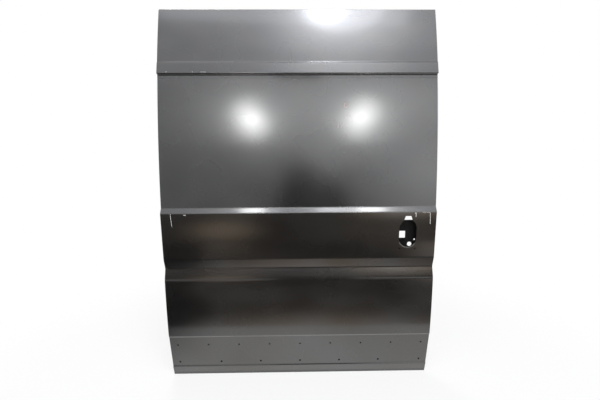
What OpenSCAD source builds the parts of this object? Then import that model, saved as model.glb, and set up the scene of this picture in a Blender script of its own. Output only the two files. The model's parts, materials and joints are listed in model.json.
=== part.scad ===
// Shell of a high-roof van's side sliding door: two outer skins hemmed round a frame of inner pressings.
// The outer face looks along -Y, +X is the leading (handle) edge and +Z is up.
// The origin is the centre of the middle roller seat, on the inner side of the trailing edge.

/* [Door] */
// Width across the hemmed side edges
door_w = 1360; // [1200:10:1500]
// Thickness of the outer skins
skin_t = 0.9; // [0.7:0.1:1.2]
// Thickness of the inner pressings
inner_t = 1; // [0.8:0.1:1.5]
// Thickness of the gussets and the latch plates
gusset_t = 1.5; // [1:0.25:2.5]
// Thickness of the roller and arm plates
plate_t = 3; // [2:0.5:5]
// Width of the return folded round the frame's flange
hem_w = 11; // [8:1:16]
// Film of adhesive or sealer between two sheets
film = 0.1; // [0.05:0.05:0.2]
// Gap where two pressings butt
butt = 0.3; // [0.2:0.1:0.8]

/* [Outer profile] */
// Turned-under lip along the bottom
lip_h = 52; // [40:1:60]
// Tilt of the lip
lip_tilt = -16; // [-24:1:-8]
// Band for the side moulding
sill_h = 177; // [150:1:200]
// Tilt of the moulding band
sill_tilt = -10; // [-14:0.5:-6]
// Lower panel, from the moulding band to its shoulder
lower_h = 294; // [250:1:340]
// Tilt at the foot of the lower panel
lower_foot = -3.2; // [-5:0.1:-2]
// Tilt at the head of the lower panel
lower_head = 1; // [0:0.1:2]
// Rounded shoulder above the lower panel
shoulder_h = 27; // [20:1:36]
// Flat of the shoulder, up to the swage line
shoulder_flat = 40; // [30:1:50]
// Tilt of the shoulder
shoulder_tilt = 18.4; // [14:0.2:22]
// Slope that runs from the swage line out to the waist band
under_h = 45; // [34:1:56]
// Tilt of that slope
under_tilt = -16.6; // [-22:0.2:-12]
// Waist band, which carries the handle
waist_h = 226; // [210:1:250]
// Tilt of the waist band
waist_tilt = -1.6; // [-2.4:0.2:-0.4]
// Ledge over the waist band
ledge_h = 22; // [16:1:28]
// Tilt of the ledge
ledge_tilt = 33; // [28:1:40]
// Upper panel, from the ledge to the roof joint
upper_h = 628; // [560:1:690]
// Tilt at the foot of the upper panel
upper_foot = 2; // [1:0.2:4]
// Tilt at the head of the upper panel
upper_head = 9.4; // [8:0.2:11]

/* [Roof skin] */
// Flange of the roof skin that laps the upper panel
roof_lap = 13; // [10:1:18]
// Underside of the drip edge
drip_d = 4.5; // [3:0.5:8]
// Belt band above the drip edge
belt_h = 47; // [38:1:56]
// Tilt of the belt band
belt_tilt = 14.6; // [12:0.2:17]
// Roof panel above the belt band
roof_h = 240; // [200:1:290]
// Tilt at the foot of the roof panel
roof_foot = 11.8; // [10:0.2:14]
// Tilt at the head of the roof panel
roof_head = 16; // [14:0.1:18]
// Flat stretch that is hemmed at the top edge
top_flange = 26; // [20:1:34]

/* [Frame] */
// Depth from the waist band to the lower inner plane
waist_depth = 66; // [60:1:76]
// Depth from the upper panel to the inner face
upper_depth = 50; // [44:1:60]
// Depth from the roof panel to the inner face
roof_depth = 48; // [42:1:60]
// Width of the frame's side flange, from the edge to the jamb wall
side_flange = 22; // [20:1:28]
// Inner face of the front pillar
front_face_w = 50; // [46:1:56]
// Inner face of the rear pillar
rear_face_w = 95; // [90:1:120]
// Face of the header rail
header_w = 78; // [72:1:100]
// Height of the bottom rail's face
bottom_face_h = 76; // [70:1:90]
// Foot of the waist rail, below the ledge
waist_rail_drop = 6; // [4:1:12]
// Height of the waist rail
waist_rail_h = 110; // [100:1:124]
// Depth of the bead along the waist rail
bead_d = 6; // [4:0.5:8]
// Depth of the trim rebate round the upper opening
seat_d = 20; // [14:1:24]
// Width of the rebate's flange
seat_w = 14; // [10:1:20]
// Lap of the lower panel behind the frame
panel_lap = 18; // [14:1:22]
// Gap at each butt joint of the frame's sides, bridged by a beam bracket or a waist gusset
side_gap = 1.2; // [1:0.1:1.6]

/* [Braces] */
// Overall height of a brace
brace_w = 92; // [80:1:110]
// Flange of a brace
brace_flange = 15; // [12:1:20]
// Mastic between a brace and the skin
mastic_t = 4; // [3:0.5:6]
// Height of the impact beam's centre, below the swage line
beam_drop = 190; // [160:1:230]
// Outer radius of the impact beam
beam_r = 15; // [13:0.5:18]
// Wall of the impact beam
beam_wall = 2; // [1.5:0.25:3]

/* [Handle] */
// Centre of the handle cut-out, from the front edge
handle_in = 139; // [128:1:146]
// Centre of the cut-out's lower arc, below the ledge
handle_drop = 134; // [126:1:140]
// Lower arc of the cut-out
handle_r = 43; // [40:1:46]
// Rise from the lower arc's centre to the shoulder's
handle_rise = 54; // [46:1:60]
// Shoulder arc of the cut-out
handle_top_r = 43; // [38:1:44]
// Height of the cut-out above its lower arc's centre
handle_top = 116; // [108:1:118]
// Width of the cut-out at its top
handle_neck = 27; // [24:1:36]
// Distance between the two fixing holes under the cut-out
fixing_pitch = 79; // [70:1:84]
// Gap between the cut-out and the fixing holes' centres
fixing_gap = 8; // [6:0.5:10]
// Radius of the fixing holes
fixing_r = 3.8; // [2.8:0.2:4]
// Depth of the handle bracket behind the skin
bracket_d = 35; // [30:1:40]
// Sheet of the handle bracket
bracket_t = 1.5; // [1:0.25:2]

/* [Holes] */
// Pitch of the upper row of moulding clips
clip_pitch = 160; // [140:1:162]
// Clips in the upper row
clip_count = 9; // [5:2:9]
// Upper row of clips, below the step at the head of the moulding band
clip_drop = 47; // [40:1:54]
// Pitch of the inner clips of the lower row
low_clip_pitch = 210; // [190:1:214]
// Lower row of clips, above the lip
low_clip_rise = 20; // [16:1:30]
// Radius of the upper row's clip holes
clip_r = 4.25; // [3:0.25:5]
// Radius of the lower row's clip holes
low_clip_r = 5; // [3:0.25:5.5]
// Radius of the roller and arm bolt holes
bolt_r = 4.5; // [4:0.25:5.5]
// Radius of the latch screw holes
screw_r = 3.25; // [2.75:0.25:4]
// Radius of the trim clip holes
trim_r = 4; // [3:0.25:5]

/* [Hidden] */
$fn = 48;
fold = 6;

// A profile is a chain of links: [length, tilt at its foot, tilt at its head, steps].
// Tilt is measured from the vertical, and leans inboard when it is positive. Points are [y, z].
function heading(tilt) = [sin(tilt), cos(tilt)];
function last(list) = list[len(list) - 1];
function back_to_front(list) = [for (i = [len(list) - 1:-1:0]) list[i]];
function first_links(links, n) = [for (i = [0:n - 1]) links[i]];
function strides(links) =
    [for (l = links) for (k = [0:l[3] - 1]) [l[0] / l[3], l[1] + (l[2] - l[1]) * (k + 0.5) / l[3]]];
function trace(links, at) = let (s = strides(links))
    [for (i = 0, p = at; i <= len(s); i = i + 1,
        p = i <= len(s) ? p + s[i - 1][0] * heading(s[i - 1][1]) : p) p];
function head_of(links, n, at) = last(trace(first_links(links, n), at));

// Unit normal of a stretch, on its inboard side
function inboard(a, b) = let (d = b - a) [d[1], -d[0]] / norm(d);
function offset_path(p, d) = [for (i = [0:len(p) - 1])
    let (a = inboard(p[max(i - 1, 0)], p[max(i, 1)]),
         b = inboard(p[min(i, len(p) - 2)], p[min(i + 1, len(p) - 1)]))
    p[i] + d * (a + b) / (1 + a * b)];

// The stretch of a rising path between two heights, and the point and tilt at a height
function segment_at(p, z) = min(len(p) - 2, max([0, for (i = [0:len(p) - 2]) if (p[i][1] <= z) i]));
function at_height(p, z) = let (k = segment_at(p, z), a = p[k], b = p[k + 1])
    a + (b - a) * (z - a[1]) / (b[1] - a[1]);
function tilt_at(p, z) = let (k = segment_at(p, z), d = p[k + 1] - p[k]) atan2(d[0], d[1]);
function between(p, z0, z1) = concat([at_height(p, z0)],
    [for (q = p) if (q[1] > z0 + 0.6 && q[1] < z1 - 0.6) q], [at_height(p, z1)]);

// Outline of a sheet along a path, hemmed at the path's first point. side is 1 where the sheet lies inboard
// of a rising path, and -1 where the path runs down.
function hemmed(p, side) = let (u = (p[1] - p[0]) / norm(p[1] - p[0]), n = side * inboard(p[0], p[1]),
        q = offset_path(p, side * skin_t))
    concat(p, [for (i = [len(q) - 1:-1:1]) q[i]],
        [for (c = [[skin_t, skin_t], [hem_stack - skin_t, skin_t], [hem_stack - skin_t, hem_w],
            [hem_stack, hem_w], [hem_stack, 0]]) p[0] + c[0] * n + c[1] * u]);

SKIN = [
    [lip_h, lip_tilt, lip_tilt, 1],
    [fold, lip_tilt, 30, 4],
    [fold, 30, sill_tilt, 3],
    [sill_h, sill_tilt, sill_tilt, 1],
    [fold, sill_tilt, -45, 3],
    [fold, -45, lower_foot, 3],
    [lower_h, lower_foot, lower_head, 8],
    [shoulder_h, lower_head, shoulder_tilt, 4],
    [shoulder_flat, shoulder_tilt, shoulder_tilt, 1],
    [fold, shoulder_tilt, under_tilt, 3],
    [under_h, under_tilt, under_tilt, 1],
    [2 * fold, under_tilt, waist_tilt, 3],
    [waist_h, waist_tilt, waist_tilt, 1],
    [fold, waist_tilt, ledge_tilt, 3],
    [ledge_h, ledge_tilt, ledge_tilt, 1],
    [fold, ledge_tilt, upper_foot, 3],
    [upper_h, upper_foot, upper_head, 10],
    [roof_lap, upper_head, upper_head, 1]];
ROOF = [
    [roof_lap, upper_head, upper_head, 1],
    [fold, upper_head, -75, 5],
    [drip_d, -75, -75, 1],
    [fold, -75, belt_tilt, 5],
    [belt_h, belt_tilt, belt_tilt, 1],
    [fold, belt_tilt, 48, 3],
    [fold, 48, roof_foot, 3],
    [roof_h, roof_foot, roof_head, 6],
    [top_flange, roof_head, roof_head, 1]];

skin_path = trace(SKIN, [0, 0]);
skin_head = last(skin_path);
lap_foot = head_of(SKIN, 17, [0, 0]);
upper_normal = [cos(upper_head), -sin(upper_head)];
roof_at = lap_foot - (skin_t + film) * upper_normal;
roof_path = trace(ROOF, roof_at);
belt_foot = head_of(ROOF, 4, roof_at);
roof_panel_foot = head_of(ROOF, 7, roof_at);
roof_panel_head = head_of(ROOF, 8, roof_at);
lip_head = head_of(SKIN, 1, [0, 0]);
waist_head = head_of(SKIN, 13, [0, 0]);
upper_start = head_of(SKIN, 16, [0, 0]);
top_z = last(roof_path)[1];
swage_z = head_of(SKIN, 9, [0, 0])[1];
ledge_z = waist_head[1];

// Sheets of a hem: skin, film, flange, film and skin
hem_stack = 2 * skin_t + 2 * film + inner_t;
flange_d = skin_t + film;
tongue_h = 24;
tongue_in = side_flange + 4;

// Face of the frame, on its outboard side: upright up to the ledge, and then parallel to the upper skins
lower_plane = waist_head[0] + waist_depth;
plane_head = upper_start[1] + 10;
plane_blend = 16;
frame_foot = [lower_plane, lip_head[1] - (lower_plane - lip_head[0]) * tan(lip_tilt)];
inner_line = concat([frame_foot, [lower_plane, plane_head]],
    offset_path(between(skin_path, plane_head + plane_blend, skin_head[1]), upper_depth),
    offset_path(between(roof_path, roof_panel_foot[1], roof_panel_head[1]), roof_depth));

// Flange that lies in the side hems. It steps out from the upper panel to the belt band.
step_up = 5;
main_back = offset_path(skin_path, flange_d);
belt_back = offset_path(between(roof_path, belt_foot[1], top_z), flange_d);
main_flange = concat([main_back[0] + flange_d * heading(lip_tilt)],
    [for (i = [1:len(main_back) - 1]) main_back[i]], [last(main_back) + step_up * heading(upper_head)]);
belt_flange = concat([belt_back[0] + step_up * heading(belt_tilt)],
    [for (i = [1:len(belt_back) - 2]) belt_back[i]], [last(belt_back) - flange_d * heading(roof_head)]);
flange_path = concat(main_flange, belt_flange);

// Section of the frame from the bottom flange, up its inner face, to the top flange
flange_end = len(flange_path) - 1;
shell_path = concat([flange_path[0], flange_path[1]], inner_line,
    [flange_path[flange_end - 1], flange_path[flange_end]]);

jamb_x = door_w / 2 - side_flange;
edge_x = door_w / 2 - skin_t - film;
front_in_x = jamb_x - front_face_w;
rear_in_x = -(jamb_x - rear_face_w);
header_foot = roof_panel_head[1] - roof_depth * sin(roof_head) - header_w * cos(roof_head);
face_d = inner_t + film;
panel_y = lower_plane - film - inner_t;
seat_y = lower_plane + face_d + plate_t;

bottom_rail_top = frame_foot[1] + bottom_face_h;
waist_rail_foot = ledge_z - waist_rail_drop;
waist_rail_top = waist_rail_foot + waist_rail_h;
// Feet and heads of the gussets over the inner face. The joint between a pillar and its upright lies behind
// the middle of the waist gussets, and the one between a corner and its pillar behind the beam's bracket.
waist_gusset = [waist_rail_foot + 50, waist_rail_foot + 104];
header_gusset = [header_foot + 10, header_foot + 58];
foot_gusset = [frame_foot[1] + 8, frame_foot[1] + 60];
upright_z = (waist_gusset[0] + waist_gusset[1]) / 2;

// Middle roller seat, where the origin lies
roller_x = -(jamb_x - rear_face_w / 2);
roller_z = ledge_z - 52;
roller_plate = [84, 116];
roller_bolts = [56, 84];
// Lower arm seat
arm_plate = [104, 54];
arm_bolts = [70, 28];
arm_x = front_in_x - 8;
arm_z = frame_foot[1] + 8 + arm_plate[1] / 2;
// Upper roller seat
top_seat_x = front_in_x - 9;
top_seat_z = header_foot + header_w / 2;
top_plate = [112, 70];
top_bolts = 56;
top_lift = 0.4;
// Latch apertures
latch_slot = [20, 64];
latch_plate = [44, 140];
latch_pitch = 100;
latch_y = lower_plane - 31;
// Handle
handle_x = door_w / 2 - handle_in;
handle_z = ledge_z - handle_drop;
handle_y = at_height(skin_path, handle_z)[0];
fixing_z = handle_z - handle_r - fixing_gap;
front_latch_z = handle_z - 39;
rear_latch_z = swage_z - 92;
beam_z = swage_z - beam_drop;

// Braces, spaced evenly between the waist rail and the belt rail
belt_foot_z = skin_head[1] + 2;
brace_gap = (belt_foot_z - waist_rail_top - 2 * brace_w) / 3;
brace_low_z = waist_rail_top + brace_gap;
brace_high_z = brace_low_z + brace_w + brace_gap;

// Openings of the lower panel: [x, z, width, height, corner radius]. Two service openings fill the space
// between the rear latch's access and the front field; the handle's access is over them at the front.
collar_d = 6;
rib_w = 26;
margin = 16;
corner_r = 30;
latch_access = [rear_in_x + margin + 36, rear_latch_z, 72, 130, 24];
access = [front_in_x - 6 - 88, handle_z + 19, 176, 186, corner_r];
front_field_w = 110;
service_x0 = rear_in_x + margin + 72 + rib_w;
service_x1 = front_in_x - margin - front_field_w - 2 * rib_w;
service_w = (service_x1 - service_x0 - rib_w) / 2;
service_h = 290;
service_rise = 132;
service_z = bottom_rail_top + service_rise + service_h / 2;
windows = [
    access,
    [service_x1 - service_w / 2, service_z, service_w, service_h, 48],
    [service_x0 + service_w / 2, service_z, service_w, service_h, 48],
    latch_access];
// Pressed fields of the lower panel, in the same form
field_d = 8;
upper_field_h = 120;
upper_field_z = waist_rail_foot - margin - rib_w - upper_field_h / 2;
field_end = access[0] - access[2] / 2 - rib_w;
long_field_w = field_end - service_x0 - service_w / 2 + 40;
fields = [
    [field_end - long_field_w / 2, upper_field_z, long_field_w, upper_field_h, corner_r],
    [service_x0 + 85, upper_field_z, 170, upper_field_h, corner_r],
    [front_in_x - margin - rib_w - front_field_w / 2, service_z, front_field_w, 220, corner_r],
    [latch_access[0], service_z - 100, 72, 120, 24]];

module across(x0, x1) translate([x0, 0, 0]) rotate([90, 0, 90]) linear_extrude(x1 - x0) children();
module ribbon(p, d0, d1) polygon(concat(offset_path(p, d0), back_to_front(offset_path(p, d1))));
module web(p, q) polygon(concat(p, back_to_front(q)));
module both_sides() {
    children();
    mirror([1, 0, 0]) children();
}
// Drawn in X and Z and extruded along Y
module through(y0, y1) translate([0, y1, 0]) rotate([90, 0, 0]) linear_extrude(y1 - y0) children();
module rounded(w, h, r) {
    square([w - 2 * r, h], center = true);
    square([w, h - 2 * r], center = true);
    for (x = [-1, 1], z = [-1, 1]) translate([x * (w / 2 - r), z * (h / 2 - r)]) circle(r);
}
module hole_y(x, y, z, r, reach = 20)
    translate([x, y + reach, z]) rotate([90, 0, 0]) cylinder(r = r, h = 2 * reach);
// A hole along the normal of a path at a height
module hole_normal(p, x, z, r, reach = 12) {
    at = at_height(p, z);
    translate([x, at[0], at[1]]) rotate([-tilt_at(p, z), 0, 0]) rotate([90, 0, 0])
        translate([0, 0, -reach]) cylinder(r = r, h = 2 * reach);
}

// Two rows of holes for the moulding clips, square to the moulding band
clip_top_z = head_of(SKIN, 4, [0, 0])[1] - clip_drop * cos(sill_tilt);
clip_low_z = head_of(SKIN, 3, [0, 0])[1] + low_clip_rise * cos(sill_tilt);
clip_end = (clip_count - 1) / 2 * clip_pitch;
module moulding_clip_holes() {
    for (i = [0:clip_count - 1]) hole_normal(skin_path, i * clip_pitch - clip_end, clip_top_z, clip_r);
    for (i = [-2:2]) hole_normal(skin_path, i * low_clip_pitch, clip_low_z, low_clip_r);
    for (s = [-1, 1]) hole_normal(skin_path, s * clip_end, clip_low_z, low_clip_r);
}

// Egg-shaped cut-out: a lower arc, a shoulder arc and a narrow neck with slanted sides
module handle_cut_out() {
    root = handle_top_r - 7;
    circle(handle_r);
    translate([0, handle_rise]) circle(handle_top_r);
    polygon([[-handle_r, 0], [handle_r, 0], [handle_top_r, handle_rise], [-handle_top_r, handle_rise]]);
    neck = [[handle_neck / 2, handle_top], [handle_neck / 2 + 6, handle_top - 17],
        [root * cos(38), handle_rise + root * sin(38)]];
    polygon(concat([for (p = neck) [-p[0], p[1]]], back_to_front(neck)));
}

module outer_skin() color("dimgray") difference() {
    union() {
        across(-door_w / 2, door_w / 2) polygon(hemmed(skin_path, 1));
        across(tongue_in - door_w / 2, door_w / 2 - tongue_in)
            ribbon([skin_head - heading(upper_head), skin_head + tongue_h * heading(upper_head)],
                0, skin_t);
        both_sides() {
            across(door_w / 2 - skin_t, door_w / 2) ribbon(skin_path, 0, hem_stack);
            across(door_w / 2 - hem_w, door_w / 2)
                ribbon(between(skin_path, lip_head[1], skin_head[1]), hem_stack - skin_t, hem_stack);
        }
    }
    moulding_clip_holes();
    translate([handle_x, 0, handle_z]) through(handle_y - 20, handle_y + 20) handle_cut_out();
    fixing_holes();
}
module fixing_holes() for (s = [-1, 1])
    hole_y(handle_x + s * fixing_pitch / 2, handle_y, fixing_z, fixing_r, bracket_d + 10);

module roof_skin() color("dimgray") {
    across(-door_w / 2, door_w / 2) polygon(hemmed(back_to_front(roof_path), -1));
    both_sides() {
        across(door_w / 2 - skin_t, door_w / 2)
            ribbon(between(roof_path, belt_foot[1], top_z), 0, hem_stack);
        across(door_w / 2 - hem_w, door_w / 2)
            ribbon(between(roof_path, belt_foot[1], roof_panel_head[1]), hem_stack - skin_t, hem_stack);
    }
}

// The frame's whole side at the +X edge: pan section, jamb wall, side flange and upper rebate
module frame_side(face_w) {
    in_x = jamb_x - face_w;
    shell_mid = offset_path(shell_path, inner_t / 2);
    flange_mid = offset_path(flange_path, inner_t / 2);
    jamb = concat([for (i = [1:flange_end - 1]) flange_mid[i]],
        [for (i = [len(shell_mid) - 2:-1:1]) shell_mid[i]]);
    rebate = between(inner_line, waist_rail_top, header_foot);
    seat = between(inner_line, waist_rail_top + 6, header_foot - seat_w - 1);
    across(in_x, jamb_x) ribbon(shell_path, 0, inner_t);
    across(jamb_x - inner_t, jamb_x) polygon(jamb);
    across(jamb_x - inner_t, edge_x) ribbon(flange_path, 0, inner_t);
    across(in_x, in_x + inner_t) ribbon(rebate, inner_t / 2 - seat_d, inner_t / 2);
    across(in_x - seat_w, in_x + inner_t) ribbon(seat, -seat_d, inner_t - seat_d);
}

// The side is welded up from a corner, a pillar up to the waist and an upright over it
module side_part(face_w, z0, z1) intersection() {
    frame_side(face_w);
    translate([0, -door_w / 2, z0]) cube([door_w, door_w, z1 - z0]);
}
module corner(face_w) side_part(face_w, -1, beam_z - side_gap / 2);
module pillar(face_w) side_part(face_w, beam_z + side_gap / 2, upright_z - side_gap / 2);
module upright(face_w) side_part(face_w, upright_z + side_gap / 2, top_z + 1);

module latch_cuts(z) {
    translate([jamb_x - 30, latch_y, z]) rotate([90, 0, 90]) linear_extrude(60) {
        rounded(latch_slot[0], latch_slot[1], 5);
        for (s = [-1, 1]) translate([0, s * latch_pitch / 2]) circle(screw_r);
    }
}

// A column of trim clip holes, evenly spaced
module trim_holes(x, z0, z1, n)
    for (k = [0:n - 1]) hole_normal(inner_line, x, z0 + (z1 - z0) * k / (n - 1), trim_r);

trim_rise = 70;
trim_head_gap = 50;
module front_trim_holes()
    trim_holes(jamb_x - front_face_w / 2, bottom_rail_top + trim_rise, front_latch_z - trim_head_gap, 4);
module rear_trim_holes()
    trim_holes(roller_x, bottom_rail_top + trim_rise, roller_z - roller_plate[1] / 2 - trim_head_gap, 5);

module front_corner() color("gray") difference() {
    corner(front_face_w);
    front_trim_holes();
    arm_cuts();
}
module rear_corner() color("gray") difference() {
    mirror([1, 0, 0]) corner(rear_face_w);
    rear_trim_holes();
}

module front_pillar() color("gray") difference() {
    pillar(front_face_w);
    latch_cuts(front_latch_z);
    front_trim_holes();
}
module rear_pillar() color("gray") difference() {
    mirror([1, 0, 0]) pillar(rear_face_w);
    mirror([1, 0, 0]) latch_cuts(rear_latch_z);
    rear_trim_holes();
    roller_cuts();
}

module front_upright() color("gray") difference() {
    upright(front_face_w);
    trim_holes(jamb_x - front_face_w / 2, waist_rail_top + 40, header_foot - 50, 5);
    upper_roller_cuts();
}

module rear_upright() color("gray") difference() {
    mirror([1, 0, 0]) upright(rear_face_w);
    trim_holes(roller_x, waist_rail_top + 40, header_foot - 90, 5);
}

header_hole_in = 110;
module header_rail() color("gray") difference() {
    q = at_height(inner_line, header_foot);
    n = [cos(roof_head), -sin(roof_head)];
    run = [for (p = shell_path) if (p[1] > header_foot + 0.05) p];
    across(rear_in_x + butt, front_in_x - butt)
        ribbon(concat([q - seat_d * n - seat_w * heading(roof_head), q - seat_d * n, q], run), 0, inner_t);
    x0 = rear_in_x + header_hole_in;
    x1 = top_seat_x - top_plate[0] / 2 - header_hole_in / 2;
    for (k = [0:4]) hole_normal(inner_line, x0 + (x1 - x0) * k / 4, header_foot + header_w / 2, trim_r);
    upper_roller_cuts();
}

// Hat section behind the roof joint, from the tongue of the upper panel to the roof panel
module belt_rail() color("gray") {
    tongue_z = belt_foot_z;
    crown_z = tongue_z + tongue_h + 8;
    crown = offset_path(inner_line, -seat_d - film - inner_t);
    roof_back = offset_path(roof_path, flange_d);
    across(rear_in_x - 8, front_in_x + 8)
        ribbon(concat(between(offset_path([lap_foot, skin_head + 60 * heading(upper_head)], flange_d),
                tongue_z, tongue_z + tongue_h - 6),
            between(crown, crown_z, crown_z + 44),
            between(roof_back, crown_z + 56, crown_z + 56 + brace_flange)), 0, inner_t);
}

module waist_rail() color("gray") {
    q = at_height(inner_line, waist_rail_top);
    t = tilt_at(inner_line, waist_rail_top);
    n = [cos(t), -sin(t)];
    reach = upper_depth - skin_t - mastic_t;
    bead_z = waist_rail_foot + panel_lap + 10;
    face = [[lower_plane, waist_rail_foot], [lower_plane, bead_z], [lower_plane - bead_d, bead_z + bead_d],
        [lower_plane - bead_d, bead_z + 14], [lower_plane, bead_z + 14 + bead_d]];
    across(rear_in_x + butt, front_in_x - butt)
        ribbon(concat(face, between(inner_line, bead_z + 22, waist_rail_top),
            [q - reach * n, q - reach * n + 22 * heading(t)]), 0, inner_t);
}

// Drain slots in the floor of the frame: length and width, and their distance from the door's side edges
drain_slot = [40, 7];
drain_in = 280;
module bottom_rail() color("gray") difference() {
    across(rear_in_x + butt, front_in_x - butt)
        ribbon(between(shell_path, shell_path[0][1], bottom_rail_top), 0, inner_t);
    for (x = [-1, 0, 1])
        translate([x * (door_w / 2 - drain_in), (lip_head[0] + lower_plane) / 2, lip_head[1] - 4])
            linear_extrude(20) rounded(drain_slot[0], drain_slot[1], drain_slot[1] / 2 - 0.1);
    arm_cuts();
}

module lower_panel() color("silver") difference() {
    z0 = bottom_rail_top - panel_lap;
    z1 = waist_rail_foot + panel_lap;
    union() {
        difference() {
            through(panel_y, panel_y + inner_t) translate([rear_in_x - panel_lap, z0])
                square([front_in_x - rear_in_x + 2 * panel_lap, z1 - z0]);
            through(panel_y - 1, panel_y + inner_t + 1) {
                for (f = fields) translate([f[0], f[1]]) rounded(f[2], f[3], f[4]);
                for (w = windows) translate([w[0], w[1]]) rounded(w[2], w[3], w[4]);
            }
        }
        for (f = fields) translate([f[0], 0, f[1]]) {
            through(panel_y - field_d, panel_y - field_d + inner_t) rounded(f[2], f[3], f[4]);
            through(panel_y - field_d, panel_y + inner_t) rim(f);
        }
        for (w = windows) translate([w[0], 0, w[1]]) through(panel_y - collar_d, panel_y + inner_t) rim(w);
    }
    panel_hole_row(rear_in_x + panel_hole_in, access[0] - panel_hole_in + 10, upper_row_z, 6);
    panel_hole_row(rear_in_x + panel_hole_in, front_in_x - panel_hole_in, bottom_rail_top + 60, 7);
}
panel_hole_in = 80;
upper_row_z = service_z + service_h / 2 + rib_w + 8;
module panel_hole_row(x0, x1, z, n)
    for (k = [0:n - 1]) hole_y(x0 + (x1 - x0) * k / (n - 1), panel_y, z, trim_r, 5);
// Wall of a pressed field or of a collared opening
module rim(f) difference() {
    rounded(f[2], f[3], f[4]);
    rounded(f[2] - 2 * inner_t, f[3] - 2 * inner_t, f[4] - inner_t);
}

// Hat section that follows the curve of the upper panel, over mastic
function brace_path(z0) = let (foot = offset_path(skin_path, skin_t + mastic_t),
        crown = offset_path(skin_path, upper_depth - seat_d - film - inner_t), ramp = 9)
    concat(between(foot, z0, z0 + brace_flange),
        between(crown, z0 + brace_flange + ramp, z0 + brace_w - brace_flange - ramp),
        between(foot, z0 + brace_w - brace_flange, z0 + brace_w));
module upper_brace(z0) color("gray") difference() {
    across(rear_in_x - 8, front_in_x + 8) ribbon(brace_path(z0), 0, inner_t);
    for (k = [-3:3]) translate([k * brace_hole_pitch, 0, z0 + brace_w / 2])
        through(-60, 120) rounded(brace_hole[0], brace_hole[1], brace_hole[2]);
}
brace_hole_pitch = (front_in_x - rear_in_x) / 7.6;
brace_hole = [70, 26, 12];
module upper_brace_low() upper_brace(brace_low_z);
module upper_brace_high() upper_brace(brace_high_z);

// A patch of mastic between the skin and what backs it
module mastic_patch(x0, x1, z0, z1)
    across(x0, x1) ribbon(between(skin_path, z0, z1), skin_t + film, skin_t + mastic_t - film);

brace_patch_w = 50;
module brace_mastic() color("black")
    for (z = [brace_low_z, brace_high_z], up = [2, brace_w - brace_flange + 2], k = [-3:3])
        mastic_patch(k * brace_hole_pitch - brace_patch_w / 2, k * brace_hole_pitch + brace_patch_w / 2,
            z + up, z + up + brace_flange - 4);

module waist_mastic() color("black")
    mastic_patch(rear_in_x + 40, front_in_x - 40, waist_rail_top + 8, waist_rail_top + 18);

beam_y = at_height(skin_path, beam_z)[0] + skin_t + mastic_t + beam_r;
beam_lap = 24;
beam_x0 = rear_in_x - panel_lap - beam_lap;
beam_x1 = front_in_x + panel_lap + beam_lap;
module impact_beam() color("dimgray") translate([beam_x0, beam_y, beam_z]) rotate([0, 90, 0]) difference() {
    cylinder(r = beam_r, h = beam_x1 - beam_x0);
    translate([0, 0, -1]) cylinder(r = beam_r - beam_wall, h = beam_x1 - beam_x0 + 2);
}

// Saddle for one end of the beam: a base on the back of the side's face, two cheeks and a cup
module beam_bracket(x0, x1) color("gray") {
    base_y = lower_plane - film - gusset_t;
    base_h = 104;
    cup = beam_r + film;
    difference() {
        union() {
            translate([x0, base_y, beam_z - base_h / 2]) cube([x1 - x0, gusset_t, base_h]);
            for (s = [-1, 1]) translate([x0, beam_y, beam_z + s * (cup + gusset_t / 2) - gusset_t / 2])
                cube([x1 - x0, base_y - beam_y + 0.5, gusset_t]);
            translate([x0, beam_y, beam_z]) rotate([0, 90, 0]) cylinder(r = cup + gusset_t, h = x1 - x0);
        }
        translate([x0 - 1, beam_y, beam_z]) rotate([0, 90, 0]) cylinder(r = cup, h = x1 - x0 + 2);
        translate([x0 - 1, beam_y - cup - 5, beam_z - cup]) cube([x1 - x0 + 2, cup + 5, 2 * cup]);
        translate([x0 - 1, beam_y - cup - 5, beam_z - cup - 5]) cube([x1 - x0 + 2, cup + 5, 2 * cup + 10]);
    }
}
bracket_w = 28;
module beam_front_bracket()
    beam_bracket(front_in_x + panel_lap + 1, front_in_x + panel_lap + 1 + bracket_w);
module beam_rear_bracket()
    beam_bracket(rear_in_x - panel_lap - 1 - bracket_w, rear_in_x - panel_lap - 1);

beam_patch_w = 36;
module beam_mastic() color("black") for (k = [-3:3])
    across(k * brace_hole_pitch - beam_patch_w / 2, k * brace_hole_pitch + beam_patch_w / 2) difference() {
        ribbon(between(skin_path, beam_z - 9, beam_z + 9), skin_t + film, skin_t + mastic_t + beam_r / 2);
        translate([beam_y, beam_z]) circle(beam_r + film);
    }

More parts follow.
